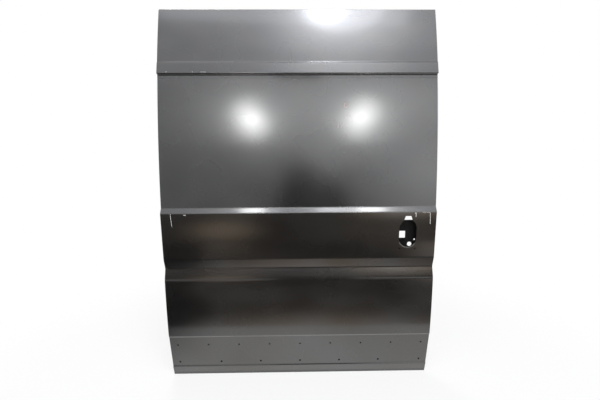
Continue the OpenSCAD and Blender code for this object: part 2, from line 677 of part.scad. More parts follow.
// Tray behind the cut-out. Its floor is open at the top and notched on the rear side, with a tab under
// the notch: [left, foot, width, height] from the handle's middle, then the round hole and the small one.
tray_notch = [-49, -4, 47, 36];
tray_hole = [21, -36.5, 11.3];
tray_pin = [46, -12.5, 4];
tray_tab_w = 38;
tray_tab_d = 10;
tray_tab_drop = 6;
tray_lap = 14;
tray_foot_w = 16;
module handle_bracket() color("dimgray") {
    floor_y = handle_y + bracket_d;
    half = handle_top_r + 19;
    z0 = fixing_z - 12;
    z1 = handle_z + handle_top - 27;
    notch_x = handle_x + tray_notch[0];
    notch_z = handle_z + tray_notch[1];
    seat = offset_path(between(skin_path, z0, z1), flange_d);
    difference() {
        union() {
            translate([handle_x - half, floor_y, z0]) cube([2 * half, bracket_t, z1 - z0]);
            for (s = [-1, 1]) {
                wall_x = handle_x + s * (half - bracket_t / 2) - bracket_t / 2;
                foot_x = handle_x + s * (half + tray_foot_w / 2 - bracket_t) - tray_foot_w / 2;
                across(wall_x, wall_x + bracket_t) web(seat, [[floor_y, z0], [floor_y, z1]]);
                across(foot_x, foot_x + tray_foot_w) ribbon(seat, 0, bracket_t);
            }
            translate([handle_x - half, handle_y + tray_lap, z0])
                cube([2 * half, bracket_d - tray_lap, bracket_t]);
        }
        translate([notch_x, floor_y - 5, notch_z]) cube([tray_notch[2], 12, tray_notch[3]]);
        for (h = [tray_hole, tray_pin]) hole_y(handle_x + h[0], floor_y, handle_z + h[1], h[2], 5);
        fixing_holes();
    }
    translate([notch_x + tray_notch[2] - tray_tab_w, floor_y - tray_tab_d, notch_z - tray_tab_drop])
        cube([tray_tab_w, tray_tab_d + 0.5, bracket_t]);
}

module latch_backing(z) color("dimgray") difference() {
    x0 = jamb_x - inner_t - film - gusset_t;
    translate([x0, latch_y - latch_plate[0] / 2, z - latch_plate[1] / 2])
        cube([gusset_t, latch_plate[0], latch_plate[1]]);
    latch_cuts(z);
}
module front_latch_plate() latch_backing(front_latch_z);
module rear_latch_plate() mirror([1, 0, 0]) latch_backing(rear_latch_z);

module roller_cuts() for (x = [-1, 1], z = [-1, 1])
    hole_y(roller_x + x * roller_bolts[0] / 2, lower_plane, roller_z + z * roller_bolts[1] / 2, bolt_r, 10);
module middle_roller_plate() color("dimgray") difference() {
    translate([roller_x, 0, roller_z])
        through(lower_plane + face_d, seat_y) rounded(roller_plate[0], roller_plate[1], 10);
    roller_cuts();
}

module arm_cuts() for (x = [-1, 1], z = [-1, 1])
    hole_y(arm_x + x * arm_bolts[0] / 2, lower_plane, arm_z + z * arm_bolts[1] / 2, bolt_r, 10);
module lower_arm_plate() color("dimgray") difference() {
    translate([arm_x, 0, arm_z])
        through(lower_plane + face_d, seat_y) rounded(arm_plate[0], arm_plate[1], 8);
    arm_cuts();
}

// The upper seat lies flat on the tilted face of the header
module on_header() {
    at = at_height(inner_line, top_seat_z);
    translate([top_seat_x, at[0], at[1]]) rotate([-tilt_at(inner_line, top_seat_z), 0, 0]) children();
}
module upper_roller_cuts() on_header() for (x = [-1, 1], z = [-1, 1])
    translate([x * top_bolts / 2, 10, z * top_bolts / 2]) rotate([90, 0, 0]) cylinder(r = bolt_r, h = 20);
module upper_roller_plate() color("dimgray") difference() {
    on_header() through(face_d + top_lift, face_d + top_lift + plate_t)
        rounded(top_plate[0], top_plate[1], 10);
    upper_roller_cuts();
}

// Flat gussets that bridge a butt joint of the frame, bent to its inner face
module gusset(x0, x1, span)
    across(x0, x1) ribbon(between(inner_line, span[0], span[1]), face_d, face_d + gusset_t);
module upper_rear_gusset() color("gray") {
    gusset(rear_in_x - 50, rear_in_x + 60, header_gusset);
    gusset(rear_in_x - 50, rear_in_x - 8, [header_foot - 60, header_gusset[1]]);
}
module waist_front_gusset() color("gray") gusset(front_in_x - 42, front_in_x + 38, waist_gusset);
module waist_rear_gusset() color("gray") gusset(rear_in_x - 44, rear_in_x + 48, waist_gusset);
module lower_rear_gusset() color("gray") gusset(rear_in_x - 48, rear_in_x + 52, foot_gusset);

module place() translate([-roller_x, -seat_y, -roller_z]) children();
place() outer_skin();
place() roof_skin();
place() front_corner();
place() rear_corner();
place() front_pillar();
place() rear_pillar();
place() front_upright();
place() rear_upright();
place() header_rail();
place() belt_rail();
place() waist_rail();
place() bottom_rail();
place() lower_panel();
place() upper_brace_low();
place() upper_brace_high();
place() brace_mastic();
place() waist_mastic();
place() impact_beam();
place() beam_front_bracket();
place() beam_rear_bracket();
place() beam_mastic();
place() handle_bracket();
place() front_latch_plate();
place() rear_latch_plate();
place() upper_roller_plate();
place() middle_roller_plate();
place() lower_arm_plate();
place() upper_rear_gusset();
place() waist_front_gusset();
place() waist_rear_gusset();
place() lower_rear_gusset();
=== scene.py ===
import json
import math
import random

import bmesh
import bpy
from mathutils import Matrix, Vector
from mathutils.bvhtree import BVHTree

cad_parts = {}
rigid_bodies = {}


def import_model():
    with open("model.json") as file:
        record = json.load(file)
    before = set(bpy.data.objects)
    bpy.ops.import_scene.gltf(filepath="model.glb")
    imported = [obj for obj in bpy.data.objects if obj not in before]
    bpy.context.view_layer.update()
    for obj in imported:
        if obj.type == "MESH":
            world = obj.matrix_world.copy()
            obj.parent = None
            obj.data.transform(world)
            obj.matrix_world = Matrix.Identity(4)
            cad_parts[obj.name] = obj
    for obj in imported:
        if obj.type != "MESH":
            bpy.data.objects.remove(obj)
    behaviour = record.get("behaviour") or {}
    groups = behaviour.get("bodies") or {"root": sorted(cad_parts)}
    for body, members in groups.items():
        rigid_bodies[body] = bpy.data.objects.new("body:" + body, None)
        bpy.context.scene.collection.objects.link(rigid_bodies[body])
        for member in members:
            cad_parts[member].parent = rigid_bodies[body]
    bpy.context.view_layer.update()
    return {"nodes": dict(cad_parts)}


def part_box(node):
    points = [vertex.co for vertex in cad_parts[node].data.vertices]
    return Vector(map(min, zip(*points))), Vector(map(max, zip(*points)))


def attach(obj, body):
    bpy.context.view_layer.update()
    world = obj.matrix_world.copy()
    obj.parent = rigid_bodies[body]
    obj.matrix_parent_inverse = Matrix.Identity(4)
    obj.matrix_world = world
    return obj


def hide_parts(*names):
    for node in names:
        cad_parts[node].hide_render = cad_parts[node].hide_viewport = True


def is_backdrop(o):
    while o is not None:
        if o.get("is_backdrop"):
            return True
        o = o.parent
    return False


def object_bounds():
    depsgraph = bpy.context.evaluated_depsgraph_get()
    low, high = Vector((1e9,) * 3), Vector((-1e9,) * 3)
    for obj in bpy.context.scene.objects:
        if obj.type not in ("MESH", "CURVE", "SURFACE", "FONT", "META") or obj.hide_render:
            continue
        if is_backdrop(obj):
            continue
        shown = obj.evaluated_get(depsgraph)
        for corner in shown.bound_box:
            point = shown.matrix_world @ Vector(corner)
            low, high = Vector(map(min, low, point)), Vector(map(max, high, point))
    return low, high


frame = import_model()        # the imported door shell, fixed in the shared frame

nodes = frame["nodes"]
scene = bpy.context.scene
floorHeight = -0.83965      # the door stands on its bottom edge
print("frame loaded:", len(nodes), "nodes")


def linear(hexColour):      # an sRGB colour as the linear values that shaders take
    parts = [int(hexColour[i:i + 2], 16) / 255 for i in (1, 3, 5)]
    return [p / 12.92 if p <= 0.04045 else ((p + 0.055) / 1.055) ** 2.4 for p in parts] + [1.0]


def addNode(tree, kind, inputs=None, **settings):       # an input is linked to a socket, or set to a value
    node = tree.nodes.new("ShaderNode" + kind)
    for name, value in settings.items():
        setattr(node, name, value)
    for name, value in (inputs or {}).items():
        if isinstance(value, bpy.types.NodeSocket):
            tree.links.new(value, node.inputs[name])
        else:
            node.inputs[name].default_value = value
    return node


# The photograph's camera: a wide lens at chest height, a little left of the middle, tipped down.
camera = {"place": (0.5885, -1.7515, 0.3727), "turn": (81.400, 0.295, -0.926), "lens": 20.90, "sensor": 36}
cameraData = bpy.data.cameras.new("photoCamera")
cameraData.lens = camera["lens"]
cameraData.sensor_width = camera["sensor"]
cameraObject = bpy.data.objects.new("photoCamera", cameraData)
cameraObject.location = camera["place"]
cameraObject.rotation_euler = [math.radians(a) for a in camera["turn"]]
scene.collection.objects.link(cameraObject)
scene.camera = cameraObject

scene.view_settings.view_transform = "Standard"


# Studio: white surroundings, a pale floor, soft light from behind the camera.
studio = {
    "around": "#f4f6f8",
    "ambient": 0.40,            # what the surroundings give to dull surfaces
    "floor": "#eeedeb",
    "reach": 30,                # how far the floor runs each way
    "middle": (0.61, -0.2),     # the point on the floor that it fades out from
    "lift": 0.75,               # how far the seen floor is lifted towards white near the door
    "fade": (1.0, 2.2),         # floor radius over which it melts into the white
}
white = (1, 1, 1, 1)


def seenRays(tree):             # camera, glossy and transmission rays, which see the plain white studio
    path = addNode(tree, "LightPath").outputs
    two = addNode(tree, "Math", {0: path["Is Camera Ray"], 1: path["Is Glossy Ray"]}, operation="ADD")
    return addNode(tree, "Math", {0: two.outputs[0], 1: path["Is Transmission Ray"]}, operation="ADD",
                   use_clamp=True).outputs[0]


world = bpy.data.worlds.new("paleStudio")
scene.world = world
world.use_nodes = True
tree = world.node_tree
tree.nodes.clear()
dim = addNode(tree, "Background", {"Color": linear(studio["around"]), "Strength": studio["ambient"]})
plain = addNode(tree, "Background", {"Color": white, "Strength": 1.0})
mixed = addNode(tree, "MixShader", {0: seenRays(tree), 1: dim.outputs[0], 2: plain.outputs[0]})
addNode(tree, "OutputWorld", {0: mixed.outputs[0]})


def emptyMaterial(name):
    material = bpy.data.materials.new(name)
    material.use_nodes = True
    material.node_tree.nodes.clear()
    return material, material.node_tree


def meshObject(name, work, material):
    mesh = bpy.data.meshes.new(name)
    work.to_mesh(mesh)
    work.free()
    mesh.materials.append(material)
    made = bpy.data.objects.new(name, mesh)
    scene.collection.objects.link(made)
    return made


def stageSheet(name, low, high, material):      # a flat rectangle between two corners, level or upright
    flat = next(axis for axis in range(3) if low[axis] == high[axis])
    first, second = [axis for axis in range(3) if axis != flat]
    work = bmesh.new()
    corners = []
    for one, two in ((low, low), (high, low), (high, high), (low, high)):
        corner = list(low)
        corner[first], corner[second] = one[first], two[second]
        corners.append(work.verts.new(corner))
    work.faces.new(corners)
    made = meshObject(name, work, material)
    made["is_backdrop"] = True
    return made


# Painted studio floor: matt, keeps the door's soft shadow near its foot, white further out.
floorMaterial, tree = emptyMaterial("studioFloorPaint")
place = addNode(tree, "TexCoord").outputs["Object"]
centred = addNode(tree, "VectorMath", {0: place, 1: (*studio["middle"], floorHeight)}, operation="SUBTRACT")
radius = addNode(tree, "VectorMath", {0: centred.outputs[0]}, operation="LENGTH").outputs["Value"]
fade = addNode(tree, "MapRange", {"Value": radius, "From Min": studio["fade"][0],
                                  "From Max": studio["fade"][1]}, interpolation_type="SMOOTHSTEP")
lifted = addNode(tree, "MapRange", {"Value": fade.outputs[0], "To Min": studio["lift"], "To Max": 1.0})
amount = addNode(tree, "Math", {0: lifted.outputs[0], 1: seenRays(tree)}, operation="MULTIPLY")
paint = addNode(tree, "BsdfDiffuse", {"Color": linear(studio["floor"])})
glow = addNode(tree, "Emission", {"Color": white, "Strength": 1.0})
mixed = addNode(tree, "MixShader", {0: amount.outputs[0], 1: paint.outputs[0], 2: glow.outputs[0]})
addNode(tree, "OutputMaterial", {0: mixed.outputs[0]})
stageSheet("studioFloor", (-studio["reach"], -studio["reach"], floorHeight),
           (studio["reach"], studio["reach"], floorHeight), floorMaterial)

# Cards that reflections see: the room around the door. Each has its lowest and highest corner, a base level,
# and soft patches with a centre, radii and a level to add; "clouds" is how strongly the level varies.
cards = {
    "brownMat": {
        "low": (-6, -9, -0.83), "high": (7, -0.50, -0.83), "colours": ("#ffdcb4", "#fff8f2"),
        "base": 0.12, "clouds": 0.9, "patches": [
            ((0.75, -0.40, -0.83), (1.2, 0.42, 1), 0.90), ((-0.40, -3.4, -0.83), (0.85, 1.2, 1), 1.35),
            ((1.7, -3.5, -0.83), (0.8, 1.0, 1), 0.25), ((-0.66, -1.6, -0.83), (0.42, 1.7, 1), -0.6),
            ((-0.22, -2.3, -0.83), (0.55, 0.8, 1), 0.40), ((2.20, -1.9, -0.83), (0.6, 0.9, 1), 0.90),
            ((-0.55, -0.6, -0.83), (0.65, 0.7, 1), -0.6), ((0.64, -3.0, -0.83), (0.34, 0.9, 1), -0.2)]},
    "whiteMat": {
        "low": (-1.5, -0.50, -0.831), "high": (2.7, -0.02, -0.831), "colours": ("#fffdf8", "#ffffff"),
        "base": 1.18, "clouds": 0.05, "patches": [
            ((-0.55, -0.45, -0.83), (0.75, 0.9, 1), -1.3), ((0.62, -0.25, -0.83), (0.5, 0.5, 1), 0.12)]},
    "kneeCard": {
        "low": (-0.7, -0.60, -0.28), "high": (2.0, -0.60, -0.01), "colours": ("#ffe2c0", "#fff2e4"),
        "base": 0.10, "clouds": 0.3, "patches": [
            ((1.30, -0.60, -0.04), (0.55, 1, 0.10), 1.90), ((0.24, -0.60, -0.03), (0.34, 1, 0.10), 0.25),
            ((0.12, -0.60, -0.19), (0.36, 1, 0.11), 0.95), ((1.2, -0.60, -0.20), (0.5, 1, 0.10), 0.15)]},
    "ledgeFlag": {
        "low": (0.45, -1.0, 1.25), "high": (0.80, -1.0, 1.48), "colours": ("#f8fbff", "#ffffff"),
        "base": 0.30, "clouds": 0.1, "patches": []},
    "darkFlag": {
        "low": (0.2, -2.0, -0.82), "high": (1.5, -2.0, 0.9), "colours": ("#fff2ea", "#ffffff"),
        "base": 0.02, "clouds": 0.2, "patches": [], "cloth": [
            ((0.66, -2.0, -0.55), (0.43, 1, 1.42)), ((0.90, -2.0, -0.62), (0.46, 1, 1.22))]},
    "lowScreen": {
        "low": (-1.6, -2.5, -0.25), "high": (3.2, -2.5, 0.90), "colours": ("#f8fbff", "#ffffff"),
        "base": 0.78, "clouds": 0.15, "patches": [
            ((1.45, -2.5, 1.75), (2.7, 1, 1.65), 1.85), ((2.35, -2.5, 0.30), (1.3, 1, 1.1), 1.40),
            ((0.10, -2.5, 0.65), (0.45, 1, 0.3), 0.35), ((1.0, -2.5, 0.62), (0.5, 1, 0.32), 0.55)]},
    "softBox": {
        "low": (-4.5, -6.5, -0.82), "high": (6.5, -6.5, 5.0), "colours": ("#f8fbff", "#ffffff"),
        "base": 0.90, "clouds": 0.1, "patches": [
            ((2.5, -6.5, 3.44), (6.5, 1, 3.0), 1.75), ((4.0, -6.5, 0.33), (2.9, 1, 2.3), 1.30),
            ((-0.46, -6.5, 2.7), (0.95, 1, 1.5), 2.7), ((2.22, -6.5, 2.6), (1.0, 1, 1.5), 2.9)]},
    "glowLeft": {
        "low": (-1.2, -6.4, 1.6), "high": (0.5, -6.4, 3.8), "colours": ("#fdfffb", "#ffffff"),
        "base": 0.0, "clouds": 0.0, "clear": True, "patches": [
            ((-0.54, -6.4, 2.92), (0.52, 1, 0.84), 12.0), ((-0.34, -6.4, 2.42), (0.52, 1, 0.84), 13.0)]},
    "glowRight": {
        "low": (1.3, -6.4, 1.6), "high": (3.1, -6.4, 3.9), "colours": ("#fdfffb", "#ffffff"),
        "base": 0.0, "clouds": 0.0, "clear": True, "patches": [
            ((2.30, -6.4, 2.98), (0.52, 1, 0.84), 12.5), ((2.08, -6.4, 2.46), (0.52, 1, 0.84), 12.0)]},
    "ceilingCloth": {
        "low": (-3, -6.0, 3.95), "high": (5, -1.0, 3.95), "colours": ("#f4f7ff", "#ffffff"),
        "base": 1.42, "clouds": 0.1, "patches": [
            ((1.22, -2.9, 3.95), (1.55, 2.2, 1), 2.8), ((1.3, -3.4, 3.95), (3.2, 3.2, 1), 0.9),
            ((2.2, -3.2, 3.95), (1.6, 1.9, 1), 0.9)]},
    "backWall": {
        "low": (-3.0, 3.2, -0.82), "high": (4.2, 3.2, 3.6), "colours": ("#f6f8fb", "#ffffff"),
        "base": 0.22, "clouds": 0.25, "patches": [
            ((-0.3, 3.2, 2.1), (1.1, 1, 1.5), 1.5), ((2.1, 3.2, 2.3), (1.0, 1, 1.4), 1.2)]},
    "backLeft": {
        "low": (-3.0, 0.5, -0.82), "high": (-3.0, 3.2, 3.6), "colours": ("#f6f8fb", "#ffffff"),
        "base": 0.25, "clouds": 0.2, "patches": [((-3.0, 2.0, 2.0), (1, 1.1, 1.4), 1.3)]},
    "backRight": {
        "low": (4.2, 0.5, -0.82), "high": (4.2, 3.2, 3.6), "colours": ("#f6f8fb", "#ffffff"),
        "base": 0.25, "clouds": 0.2, "patches": [((4.2, 1.8, 2.2), (1, 1.1, 1.4), 1.3)]},
}
cardLook = {"cloud": 0.5, "spread": (0.38, 0.62),       # size of the clouds, and the noise that they use
            "clothEdge": (0.92, 0.52),                  # share of its radii over which a cloth thickens
            "lighting": ("lowScreen", "softBox", "ceilingCloth")}       # these light dull surfaces as well


def patchCover(tree, place, centre, radii, edge=(1.0, 0.0)):    # 0 outside an ellipse, growing to 1 inside it
    offset = addNode(tree, "VectorMath", {0: place, 1: centre}, operation="SUBTRACT")
    scaled = addNode(tree, "VectorMath", {0: offset.outputs[0], 1: radii}, operation="DIVIDE")
    away = addNode(tree, "VectorMath", {0: scaled.outputs[0]}, operation="LENGTH").outputs["Value"]
    return addNode(tree, "MapRange", {"Value": away, "From Min": edge[0], "From Max": edge[1]},
                   interpolation_type="SMOOTHSTEP").outputs[0]


def makeCard(name, look):
    material, tree = emptyMaterial(name)
    place = addNode(tree, "TexCoord").outputs["Object"]
    clouds = addNode(tree, "TexNoise", {"Vector": place, "Scale": 1 / cardLook["cloud"], "Detail": 2.0})
    spread = addNode(tree, "MapRange", {"Value": clouds.outputs["Fac"], "From Min": cardLook["spread"][0],
                                        "From Max": cardLook["spread"][1]}).outputs[0]
    pale, paler = [linear(colour) for colour in look["colours"]]
    colour = addNode(tree, "Mix", {"Factor": spread, 6: pale, 7: paler}, data_type="RGBA").outputs[2]
    level = addNode(tree, "MapRange", {"Value": spread, "To Min": look["base"] * (1 - look["clouds"]),
                                       "To Max": look["base"] * (1 + look["clouds"])}).outputs[0]
    for centre, radii, extra in look["patches"]:
        level = addNode(tree, "Math", {0: patchCover(tree, place, centre, radii), 1: extra, 2: level},
                        operation="MULTIPLY_ADD").outputs[0]
    level = addNode(tree, "Math", {0: level, 1: 0.0}, operation="MAXIMUM").outputs[0]
    shader = addNode(tree, "Emission", {"Color": colour, "Strength": level}).outputs[0]
    if "clear" in look:         # it only adds light to what stands behind it
        clear = addNode(tree, "BsdfTransparent", {"Color": white}).outputs[0]
        shader = addNode(tree, "AddShader", {0: shader, 1: clear}).outputs[0]
    if "cloth" in look:         # thick inside these ellipses, and thinning out to nothing around them
        cover = 0.0
        for centre, radii in look["cloth"]:
            cover = addNode(tree, "Math", {0: patchCover(tree, place, centre, radii, cardLook["clothEdge"]),
                                           1: cover}, operation="MAXIMUM").outputs[0]
        clear = addNode(tree, "BsdfTransparent", {"Color": white}).outputs[0]
        shader = addNode(tree, "MixShader", {0: cover, 1: clear, 2: shader}).outputs[0]
    addNode(tree, "OutputMaterial", {0: shader})
    card = stageSheet(name, look["low"], look["high"], material)
    card.visible_camera = False
    card.visible_shadow = False
    card.visible_transmission = False
    card.visible_diffuse = name in cardLook["lighting"]


for name, look in cards.items():
    makeCard(name, look)

# Lamps: place, point looked at, size in metres, watts, and a colour where it isn't white.
lamps = {
    "lampLeft": {"place": (-0.36, -6.2, 2.58), "aim": (0.4, 0, 0.5), "size": (0.24, 0.34), "watts": 1.5},
    "lampRight": {"place": (2.10, -6.2, 2.62), "aim": (0.9, 0, 0.5), "size": (0.24, 0.34), "watts": 1.5},
    "ceilingHot": {"place": (1.02, -1.9, 3.62), "aim": (0.8, 0, 0.9), "size": (0.40, 0.40), "watts": 14,
                   "colour": "#f2f6ff"},
    "ceilingWide": {"place": (1.22, -1.9, 3.72), "aim": (0.8, 0, 0.9), "size": (1.15, 1.15), "watts": 12,
                    "colour": "#f2f4ff"},
    "ceiling": {"place": (0.5, -1.6, 3.9), "aim": (0.6, 0, 0.9), "size": (3.4, 1.4), "watts": 28,
                "colour": "#f6f8ff", "shape": "RECTANGLE"},
    "ledgeLeft": {"place": (0.06, -1.6, 2.27), "aim": (0.39, 0, 0.06), "size": (0.30, 0.40), "watts": 5},
    "ledgeRight": {"place": (1.56, -1.6, 2.27), "aim": (0.97, 0, 0.06), "size": (0.34, 0.40), "watts": 4.5},
    "fillBack": {"place": (-0.9, 3.0, 2.4), "aim": (0.61, 0, 0), "size": (1.4, 1.0), "watts": 60,
                 "shape": "RECTANGLE"},
}
for name, look in lamps.items():
    data = bpy.data.lights.new(name, "AREA")
    data.shape = look.get("shape", "ELLIPSE")
    data.size, data.size_y = look["size"]
    data.energy = look["watts"]
    data.color = linear(look.get("colour", "#ffffff"))[:3]
    lamp = bpy.data.objects.new(name, data)
    lamp.location = look["place"]
    way = Vector(look["aim"]) - Vector(look["place"])
    lamp.rotation_euler = way.to_track_quat("-Z", "Y").to_euler()
    lamp.visible_camera = False
    scene.collection.objects.link(lamp)
print("studio set")


# Cathodic e-coat on zinc-coated steel: black baked epoxy, half gloss, with a faint haze of dust and fine
# orange peel. In the handle's tray it is dull, and darker than on the frame as painted shade for the deep
# recess. "peel" and "wave" are how deep the orange peel and the sheet's slow waves are, in metres.
eCoat = {
    "skin": {"colour": "#0b0a0a", "haze": "#131211", "rough": (0.24, 0.31), "coat": 1.0, "coatRough": 0.12,
             "gloss": 0.5, "peel": 0.000005, "wave": 0.00008},
    # the handle's tray: dull, and its colour darkened as painted shade for the recess behind the opening
    "tray": {"colour": "#080808", "haze": "#0b0b0a", "rough": (0.7, 0.8), "coat": 0.0, "coatRough": 0.4,
             "gloss": 0.2, "peel": 0.00004, "wave": 0.00005},
    "frame": {"colour": "#181817", "haze": "#252422", "rough": (0.34, 0.50), "coat": 0.7, "coatRough": 0.2,
              "gloss": 0.5, "peel": 0.00004, "wave": 0.0001},
}
# Sizes in metres of the dust patches, the dust's grain, the orange peel and the waves.
eCoatGrain = {"patch": 0.22, "grain": 0.006, "grainShare": 0.04, "spread": (0.25, 0.85), "peel": 0.009,
              "wave": 0.18, "ior": 1.55}


def eCoatMaterial(name, look):
    material, tree = emptyMaterial(name)
    place = addNode(tree, "TexCoord").outputs["Object"]
    patches = addNode(tree, "TexNoise", {"Vector": place, "Scale": 1 / eCoatGrain["patch"], "Detail": 2.0,
                                         "Roughness": 0.5})
    grain = addNode(tree, "TexNoise", {"Vector": place, "Scale": 1 / eCoatGrain["grain"], "Detail": 2.0})
    dust = addNode(tree, "Math", {0: grain.outputs["Fac"], 1: eCoatGrain["grainShare"],
                                  2: patches.outputs["Fac"]}, operation="MULTIPLY_ADD").outputs[0]
    low, high = eCoatGrain["spread"]
    haze = addNode(tree, "MapRange", {"Value": dust, "From Min": low, "From Max": high}).outputs[0]
    colour = addNode(tree, "Mix", {"Factor": haze, 6: linear(look["colour"]), 7: linear(look["haze"])},
                     data_type="RGBA")
    rough = addNode(tree, "MapRange", {"Value": dust, "From Min": low, "From Max": high,
                                       "To Min": look["rough"][0], "To Max": look["rough"][1]})
    peel = addNode(tree, "TexNoise", {"Vector": place, "Scale": 1 / eCoatGrain["peel"], "Detail": 1.0})
    wave = addNode(tree, "TexNoise", {"Vector": place, "Scale": 1 / eCoatGrain["wave"], "Detail": 1.0})
    fine = addNode(tree, "Bump", {"Height": peel.outputs["Fac"], "Distance": look["peel"], "Strength": 1.0})
    broad = addNode(tree, "Bump", {"Height": wave.outputs["Fac"], "Distance": look["wave"], "Strength": 1.0,
                                   "Normal": fine.outputs[0]}).outputs[0]
    shader = addNode(tree, "BsdfPrincipled", {
        "Base Color": colour.outputs[2], "Roughness": rough.outputs[0], "IOR": eCoatGrain["ior"],
        "Specular IOR Level": look["gloss"], "Coat Weight": look["coat"], "Coat Roughness": look["coatRough"],
        "Coat IOR": eCoatGrain["ior"], "Normal": broad, "Coat Normal": broad})
    addNode(tree, "OutputMaterial", {0: shader.outputs[0]})
    return material


skinCoat = eCoatMaterial("eCoatedSkinSteel", eCoat["skin"])
frameCoat = eCoatMaterial("eCoatedFrameSteel", eCoat["frame"])
# painted shade: the handle bracket's tray gets a darker coat than the frame
trayCoatPaintedShade = eCoatMaterial("dullTraySteelPaintedShade", eCoat["tray"])

# Pastes, with the size and depth of their lumps in metres. Anti-flutter mastic is dull black rubber paste,
# slightly lumpy. Hem sealer is brushed on and baked with the coat, which leaves it dark grey and smeared.
pastes = {
    "mastic": {"colour": "#1c1b1a", "rough": (0.75, 0.95), "lump": 0.008, "detail": 3.0, "depth": 0.0006},
    "sealer": {"colour": "#2a2a28", "rough": (0.48, 0.72), "lump": 0.012, "detail": 2.0, "depth": 0.0005},
}


def pasteMaterial(name, look):
    material, tree = emptyMaterial(name)
    place = addNode(tree, "TexCoord").outputs["Object"]
    lumps = addNode(tree, "TexNoise", {"Vector": place, "Scale": 1 / look["lump"], "Detail": look["detail"]})
    bump = addNode(tree, "Bump", {"Height": lumps.outputs["Fac"], "Distance": look["depth"], "Strength": 1.0})
    rough = addNode(tree, "MapRange", {"Value": lumps.outputs["Fac"], "To Min": look["rough"][0],
                                       "To Max": look["rough"][1]})
    shader = addNode(tree, "BsdfPrincipled", {"Base Color": linear(look["colour"]),
                                              "Roughness": rough.outputs[0], "Normal": bump.outputs[0]})
    addNode(tree, "OutputMaterial", {0: shader.outputs[0]})
    return material


masticMaterial = pasteMaterial("antiFlutterMastic", pastes["mastic"])
sealerMaterial = pasteMaterial("bakedHemSealer", pastes["sealer"])

for name, node in nodes.items():
    node.data.materials.clear()
    node.data.materials.append(masticMaterial if "mastic" in name else frameCoat)
print("materials made")


def addPiece(name, work, material):
    made = meshObject(name, work, material)
    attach(made, "root")
    return made


def evenPoints(start, end, step):       # from start to end, about a step apart
    count = max(1, round(math.dist(start, end) / step))
    return [tuple(a + (b - a) * k / count for a, b in zip(start, end)) for k in range(count + 1)]


# Pressed sheets: the same sheets with their folds rounded, as a press leaves them, and curved bands shaded
# smooth. Lengths are in metres.
pressed = {
    "radii": (0.0016, 0.0032),          # inside and outside of a fold
    "skinRadii": (0.004, 0.0049),
    "skins": ("outer_skin", "roof_skin"),
    "plain": ("impact_beam",),          # a drawn tube, with no folds
    "turn": (9, 150),                   # degrees between which an edge counts as a fold
    "wide": 0.0022,                     # faces narrower than this are left alone
    "share": 0.42,                      # of a face's width that one fold may take
    "steps": 3,
    "crisp": 34,                        # degrees past which an edge is shaded sharp
    "merge": 0.00002, "straight": 0.05,     # corners this near are one, and faces this few degrees apart too
    "softFold": -0.282, "softReach": 0.040, "softBand": 0.004,      # the shoulder's lower fold is a wide one
}
tenthsPerMetre = 10000      # folds are rounded in groups of one size, in tenths of a millimetre


def mergedCopy(nodeName):
    work = bmesh.new()
    work.from_mesh(nodes[nodeName].data)
    bmesh.ops.remove_doubles(work, verts=work.verts, dist=pressed["merge"])
    bmesh.ops.dissolve_limit(work, angle_limit=math.radians(pressed["straight"]), verts=work.verts,
                             edges=work.edges)
    return work


def roundFolds(work, inner, outer, soft):
    if soft:
        for side in (-1, 1):
            bmesh.ops.bisect_plane(work, geom=work.verts[:] + work.edges[:] + work.faces[:],
                                   dist=pressed["merge"] / 2, plane_no=(0, 0, 1),
                                   plane_co=(0, 0, pressed["softFold"] + side * pressed["softReach"]))
    least, most = [math.radians(angle) for angle in pressed["turn"]]
    width = {face: 2 * face.calc_area() / face.calc_perimeter() for face in work.faces}
    mark = work.edges.layers.int.new("fold")
    for edge in work.edges:
        if len(edge.link_faces) != 2 or min(width[f] for f in edge.link_faces) < pressed["wide"]:
            continue
        turn = edge.calc_face_angle(0)
        if turn < least or turn > most:
            continue
        if soft and all(abs(v.co.z - pressed["softFold"]) < pressed["softBand"] for v in edge.verts):
            continue
        reach = (outer if edge.is_convex else inner) * math.tan(turn / 2)
        room = pressed["share"] * min(width[f] for f in edge.link_faces)
        edge[mark] = max(1, round(min(reach, room) * tenthsPerMetre))
    for size in sorted({edge[mark] for edge in work.edges} - {0}):
        folds = [edge for edge in work.edges if edge[mark] == size]
        made = bmesh.ops.bevel(work, geom=folds, offset=size / tenthsPerMetre, offset_type="OFFSET",
                               affect="EDGES", segments=pressed["steps"], profile=0.5, material=-1,
                               clamp_overlap=True)
        for edge in made["edges"]:
            edge[mark] = 0


def shadeSmooth(work):
    crisp = math.radians(pressed["crisp"])
    for face in work.faces:
        face.smooth = True
    for edge in work.edges:
        edge.smooth = len(edge.link_faces) != 2 or edge.calc_face_angle(0) <= crisp


def sheetName(nodeName):
    return nodeName.replace("_", "-") + "-sheet"


for nodeName in nodes:
    skin = nodeName in pressed["skins"]
    work = mergedCopy(nodeName)
    if nodeName not in pressed["plain"]:
        roundFolds(work, *pressed["skinRadii" if skin else "radii"], nodeName == "outer_skin")
    shadeSmooth(work)
    coat = (masticMaterial if "mastic" in nodeName else skinCoat if skin else
            trayCoatPaintedShade if nodeName == "handle_bracket" else frameCoat)
    sheet = addPiece(sheetName(nodeName), work, coat)
    sheet.modifiers.new("flatFaces", "WEIGHTED_NORMAL").keep_sharp = True
    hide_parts(nodeName)
print("pressed sheets made")

# The two lamps over the ledge light the outer sheet alone.
ledgeOnly = bpy.data.collections.new("ledgeOnly")
ledgeOnly.objects.link(bpy.data.objects[sheetName("outer_skin")])
for name in ("ledgeLeft", "ledgeRight"):
    bpy.data.objects[name].light_linking.receiver_collection = ledgeOnly


# What stands on the sheets finds them with rays along Y, which start clear of every sheet.
rayStart = 0.6


def treeOf(names):
    work = bmesh.new()
    for name in names:
        work.from_mesh(bpy.data.objects[sheetName(name)].data)
    found = BVHTree.FromBMesh(work)
    work.free()
    return found


def meet(tree, x, z, way):      # the first face met, way 1 from outside the door and -1 from inside it
    hit, normal = tree.ray_cast(Vector((x, -rayStart * way, z)), Vector((0, way, 0)))[:2]
    if hit is None:
        return None, None
    return hit, normal if normal.y * way < 0 else -normal


